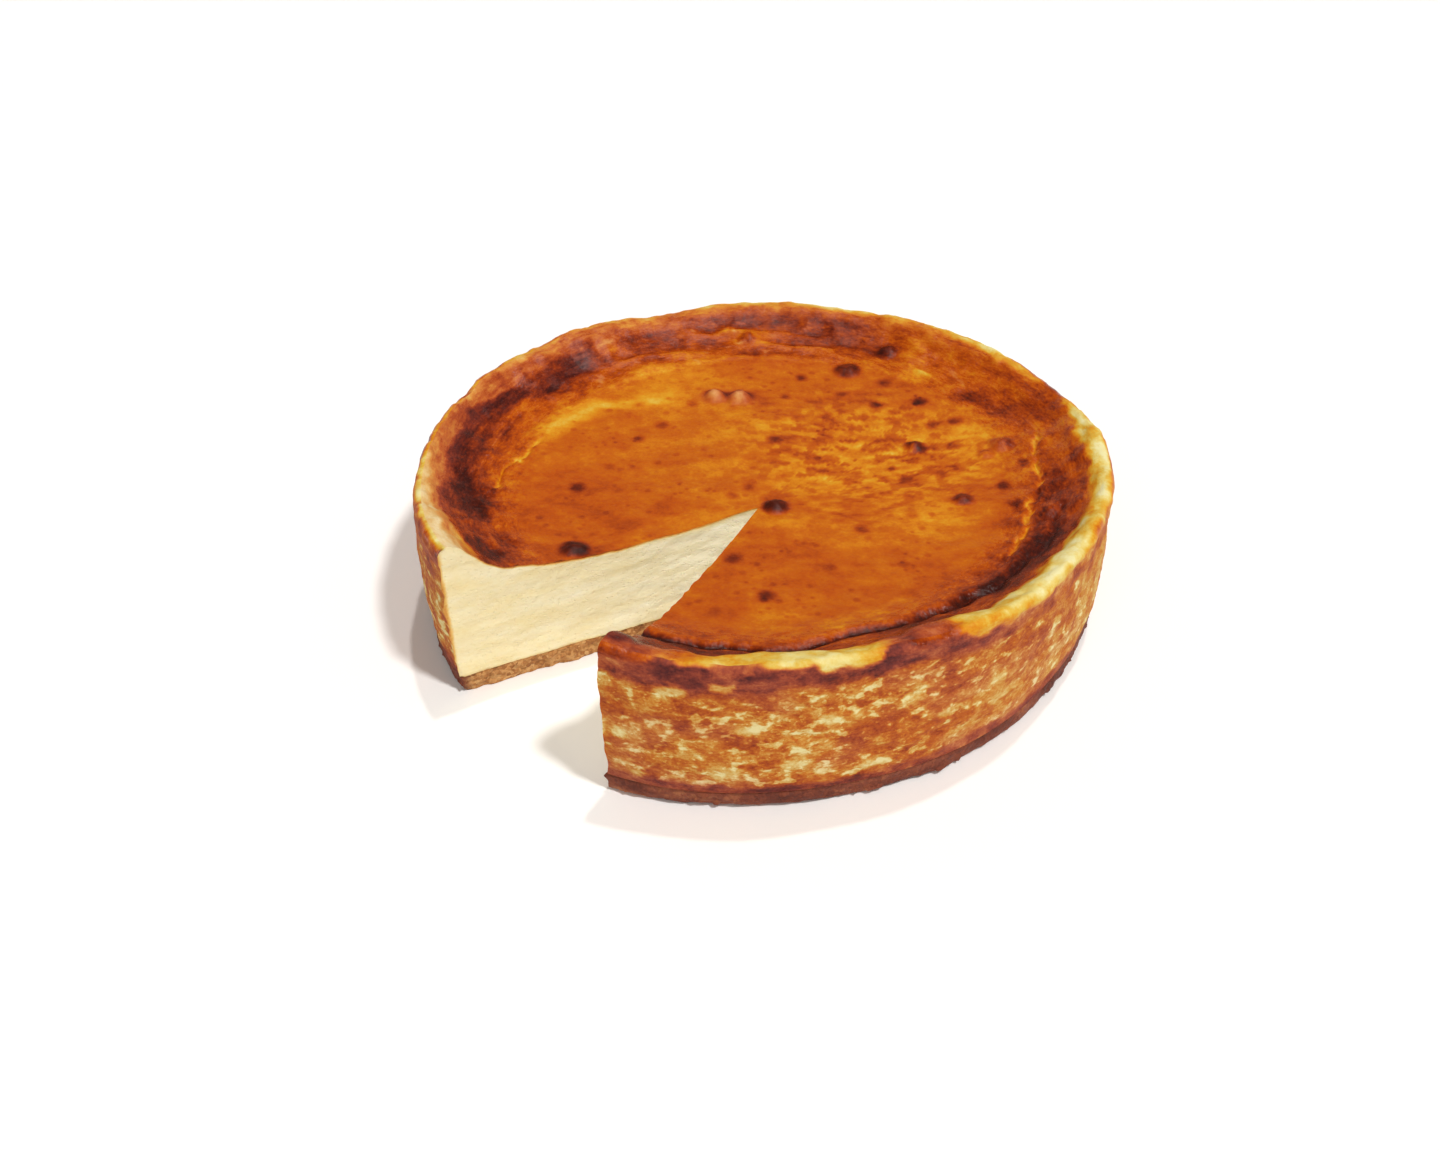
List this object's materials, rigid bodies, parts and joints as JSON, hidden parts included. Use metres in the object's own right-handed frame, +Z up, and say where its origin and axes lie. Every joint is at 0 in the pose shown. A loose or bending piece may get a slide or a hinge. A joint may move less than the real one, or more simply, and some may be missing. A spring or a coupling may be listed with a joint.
{
  "type": "cheesecake",
  "caption": "Round baked cheesecake with a sunken browned top, a raised cream rim, a thin crumb base and a wedge taken out.",
  "frame": {"origin": "centre of the bounding box of the flat underside, at the table", "axes": "+Z up through the cake's short dimension; the missing wedge opens towards -X and -Y"},
  "size_m": [0.2418, 0.2406, 0.0592],
  "materials": {
    "cheese_filling": "baked custard, browned skin outside, cream inside",
    "biscuit_base": "pressed crumbs, rough"
  },
  "bodies": {
    "root": {"cheese_filling": "cheese_filling", "biscuit_base": "biscuit_base"}
  },
  "joints": []
}
